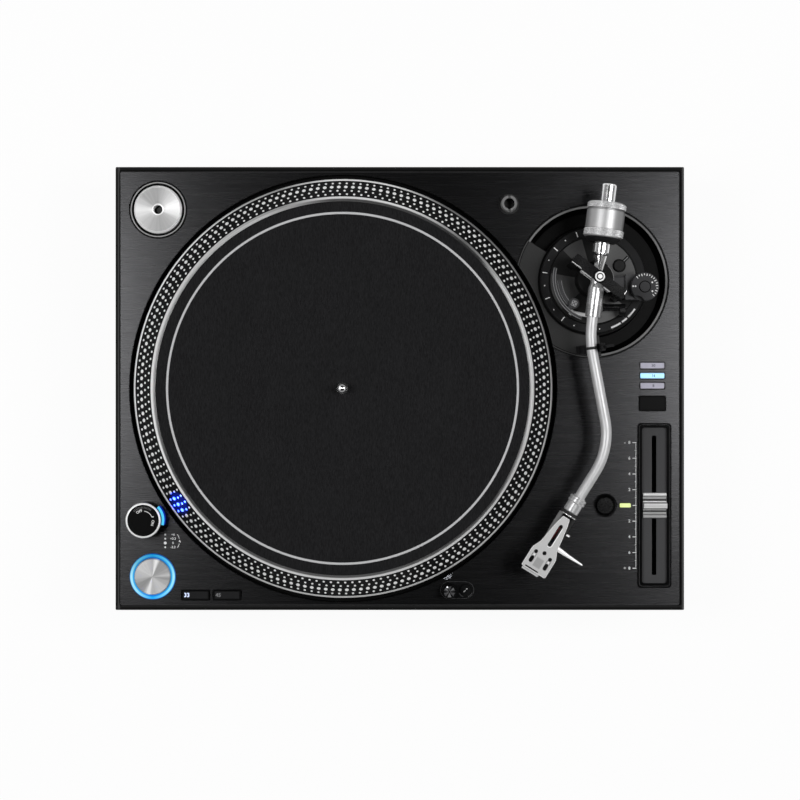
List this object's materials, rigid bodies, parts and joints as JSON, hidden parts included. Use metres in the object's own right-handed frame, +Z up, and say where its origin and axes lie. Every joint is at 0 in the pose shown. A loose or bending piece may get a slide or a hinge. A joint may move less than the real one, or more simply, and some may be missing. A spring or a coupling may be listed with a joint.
{
  "type": "dj turntable",
  "caption": "Direct-drive DJ turntable with a slipmat on a dotted platter, an S-shaped tonearm with counterweight and cueing, a tempo fader and start, speed and lamp controls.",
  "frame": {"origin": "on the floor under the middle of the cabinet", "axes": "+X to the tonearm side, +Y to the rear, +Z up"},
  "size_m": [0.453, 0.353, 0.161],
  "materials": {
    "black_metal": "satin black",
    "panel_aluminium": "black hairline",
    "black_plastic": "fine matte",
    "gloss_black": "gloss",
    "platter_aluminium": "polished and blasted",
    "satin_aluminium": "satin",
    "polished_shaft": "polished",
    "steel": "bright",
    "brass": "turned",
    "magnet": "sintered",
    "coils": "wound wire on a board",
    "board": "printed board",
    "felt": "felt",
    "cyan_light": "lit",
    "white_light": "translucent",
    "speed_cap": "black",
    "lead_wire": "insulated",
    "foot_rubber": "moulded",
    "terminal": "plated"
  },
  "bodies": {
    "chassis": {"cabinet": "black_metal", "top_panel": "panel_aluminium", "base_cover": "black_plastic", "base_screws": "steel", "arm_base": "gloss_black", "arm_rest": "black_plastic", "bearing_sleeve": "brass", "motor_stator": "coils", "control_boards": "board", "power_supply": "steel", "strobe_tower": "gloss_black", "strobe_lens": "cyan_light", "start_light_ring": "cyan_light", "indicator_lights": "white_light", "lamp_plate": "black_plastic", "fader_frame": "black_plastic", "fader_rail": "steel", "spare_headshell_socket": "satin_aluminium", "mains_inlet": "black_plastic", "rear_plate": "black_plastic", "output_terminals": "terminal"},
    "platter": {"platter": "platter_aluminium", "spindle": "steel", "rotor_magnet": "magnet"},
    "slipmat": {"slipmat": "felt"},
    "height_dial": {"height_dial": "black_metal"},
    "arm_column": {"arm_column": "black_metal", "gimbal_bridge": "black_metal", "skate_housing": "gloss_black"},
    "swing_frame": {"swing_frame": "satin_aluminium"},
    "tonearm": {"arm_pivot_block": "satin_aluminium", "arm_rear_shaft": "polished_shaft", "arm_tube": "satin_aluminium"},
    "weight_sleeve": {"weight_sleeve": "black_plastic"},
    "headshell": {"headshell": "satin_aluminium", "finger_lift": "satin_aluminium", "headshell_leads": "lead_wire"},
    "counterweight": {"counterweight": "satin_aluminium"},
    "force_dial": {"force_dial": "satin_aluminium"},
    "locking_collar": {"locking_collar": "satin_aluminium"},
    "arm_lifter": {"arm_lifter": "black_plastic"},
    "cue_lever": {"cue_lever": "black_plastic"},
    "height_lock_lever": {"height_lock_lever": "satin_aluminium"},
    "skate_knob": {"skate_knob": "black_plastic"},
    "arm_clamp": {"arm_clamp": "black_plastic"},
    "power_knob": {"power_knob": "gloss_black"},
    "start_stop_button": {"start_stop_button": "satin_aluminium"},
    "button_33": {"button_33": "speed_cap"},
    "button_45": {"button_45": "speed_cap"},
    "reset_button": {"reset_button": "black_plastic"},
    "range_button": {"range_button": "black_plastic"},
    "tempo_fader": {"tempo_fader": "satin_aluminium"},
    "stylus_lamp": {"stylus_lamp": "satin_aluminium"},
    "lamp_button": {"lamp_button": "black_plastic"},
    "record_adapter": {"record_adapter": "satin_aluminium"},
    "foot_front_left": {"foot_front_left": "foot_rubber"},
    "foot_rear_left": {"foot_rear_left": "foot_rubber"},
    "foot_front_right": {"foot_front_right": "foot_rubber"},
    "foot_rear_right": {"foot_rear_right": "foot_rubber"},
    "ground_nut": {"ground_nut": "terminal"}
  },
  "joints": [
    {"name": "platter_spin", "type": "hinge", "parent": "chassis", "child": "platter", "pos_m": [-0.045, 0, 0.105], "axis": [0, 0, 1], "continuous": true},
    {"name": "slipmat_slip", "type": "hinge", "parent": "platter", "child": "slipmat", "pos_m": [-0.045, 0, 0.117], "axis": [0, 0, 1], "continuous": true},
    {"name": "height_dial_turn", "type": "hinge", "parent": "chassis", "child": "height_dial", "pos_m": [0.153, 0.0853, 0.1035], "axis": [0, 0, 1], "range_deg": [0, 270]},
    {"name": "arm_height", "type": "slide", "parent": "chassis", "child": "arm_column", "axis": [0, 0, 1], "range_m": [0, 0.0061]},
    {"name": "arm_swing", "type": "hinge", "parent": "arm_column", "child": "swing_frame", "pos_m": [0.153, 0.0853, 0.139], "axis": [0, 0, -1], "range_deg": [0, 43]},
    {"name": "arm_tilt", "type": "hinge", "parent": "swing_frame", "child": "tonearm", "pos_m": [0.153, 0.0853, 0.139], "axis": [-0.7986, 0.6018, 0], "range_deg": [0, 15]},
    {"name": "weight_slide", "type": "slide", "parent": "tonearm", "child": "weight_sleeve", "axis": [0.1283, 0.9917, 0], "range_m": [-0.00201, 0.00801]},
    {"name": "weight_turn", "type": "hinge", "parent": "weight_sleeve", "child": "counterweight", "pos_m": [0.153, 0.0853, 0.139], "axis": [0.1283, 0.9917, 0], "range_deg": [-360, 1440]},
    {"name": "force_dial_turn", "type": "hinge", "parent": "counterweight", "child": "force_dial", "pos_m": [0.153, 0.0853, 0.139], "axis": [0.1283, 0.9917, 0], "continuous": true},
    {"name": "collar_turn", "type": "hinge", "parent": "tonearm", "child": "locking_collar", "pos_m": [0.1304, -0.09807, 0.139], "axis": [-0.5295, -0.8483, 0], "range_deg": [0, 90]},
    {"name": "headshell_pull", "type": "slide", "parent": "tonearm", "child": "headshell", "axis": [-0.5295, -0.8483, 0], "range_m": [0, 0.03]},
    {"name": "cue_lever_turn", "type": "hinge", "parent": "arm_column", "child": "cue_lever", "pos_m": [0.1582, 0.0637, 0.1145], "axis": [0, -1, 0], "range_deg": [0, 55]},
    {"name": "lifter_rise", "type": "slide", "parent": "arm_column", "child": "arm_lifter", "axis": [0, 0, 1], "range_m": [0, 0.0051]},
    {"name": "height_lock_turn", "type": "hinge", "parent": "arm_column", "child": "height_lock_lever", "pos_m": [0.1515, 0.0568, 0.1125], "axis": [0, 0, 1], "range_deg": [0, 35]},
    {"name": "skate_turn", "type": "hinge", "parent": "arm_column", "child": "skate_knob", "pos_m": [0.1912, 0.0793, 0.121], "axis": [0, 0, 1], "range_deg": [0, 230]},
    {"name": "clamp_swing", "type": "hinge", "parent": "chassis", "child": "arm_clamp", "pos_m": [0.15602, 0.03172, 0.14635], "axis": [0.112, -0.9937, 0], "range_deg": [0, 115]},
    {"name": "power_turn", "type": "hinge", "parent": "chassis", "child": "power_knob", "pos_m": [-0.2015, -0.1038, 0.114], "axis": [0, 0, -1], "range_deg": [0, 75]},
    {"name": "start_press", "type": "slide", "parent": "chassis", "child": "start_stop_button", "axis": [0, 0, -1], "range_m": [0, 0.0012], "stiffness_N_per_m": 400},
    {"name": "speed_33_press", "type": "slide", "parent": "chassis", "child": "button_33", "axis": [0, 0, -1], "range_m": [0, 0.0012], "stiffness_N_per_m": 400},
    {"name": "speed_45_press", "type": "slide", "parent": "chassis", "child": "button_45", "axis": [0, 0, -1], "range_m": [0, 0.0012], "stiffness_N_per_m": 400},
    {"name": "reset_press", "type": "slide", "parent": "chassis", "child": "reset_button", "axis": [0, 0, -1], "range_m": [0, 0.0012], "stiffness_N_per_m": 400},
    {"name": "range_press", "type": "slide", "parent": "chassis", "child": "range_button", "axis": [0, 0, -1], "range_m": [0, 0.0012], "stiffness_N_per_m": 400},
    {"name": "tempo_slide", "type": "slide", "parent": "chassis", "child": "tempo_fader", "axis": [0, 1, 0], "range_m": [-0.05, 0.05]},
    {"name": "lamp_push", "type": "slide", "parent": "chassis", "child": "stylus_lamp", "axis": [0, 0, -1], "range_m": [0, 0.0134], "stiffness_N_per_m": 30, "springref_m": -0.008},
    {"name": "lamp_press", "type": "slide", "parent": "chassis", "child": "lamp_button", "axis": [0, 0, -1], "range_m": [0, 0.0012], "stiffness_N_per_m": 400},
    {"name": "adapter_lift", "type": "slide", "parent": "chassis", "child": "record_adapter", "axis": [0, 0, 1], "range_m": [0, 0.04]},
    {"name": "ground_nut_turn", "type": "hinge", "parent": "chassis", "child": "ground_nut", "pos_m": [0.14, 0.162, 0.045], "axis": [0, 1, 0], "range_deg": [-180, 180]},
    {"name": "foot_front_left_turn", "type": "hinge", "parent": "chassis", "child": "foot_front_left", "pos_m": [-0.1705, -0.1225, 0.015], "axis": [0, 0, 1], "range_deg": [-180, 180]},
    {"name": "foot_rear_left_turn", "type": "hinge", "parent": "chassis", "child": "foot_rear_left", "pos_m": [-0.1705, 0.1225, 0.015], "axis": [0, 0, 1], "range_deg": [-180, 180]},
    {"name": "foot_front_right_turn", "type": "hinge", "parent": "chassis", "child": "foot_front_right", "pos_m": [0.1705, -0.1225, 0.015], "axis": [0, 0, 1], "range_deg": [-180, 180]},
    {"name": "foot_rear_right_turn", "type": "hinge", "parent": "chassis", "child": "foot_rear_right", "pos_m": [0.1705, 0.1225, 0.015], "axis": [0, 0, 1], "range_deg": [-180, 180]}
  ],
  "couplings": [
    {"joint": "arm_height", "follows": "height_dial_turn", "m_per_rad": 0.0012732},
    {"joint": "weight_slide", "follows": "weight_turn", "m_per_rad": 0.00031831},
    {"joint": "lifter_rise", "follows": "cue_lever_turn", "m_per_rad": 0.0052087}
  ]
}
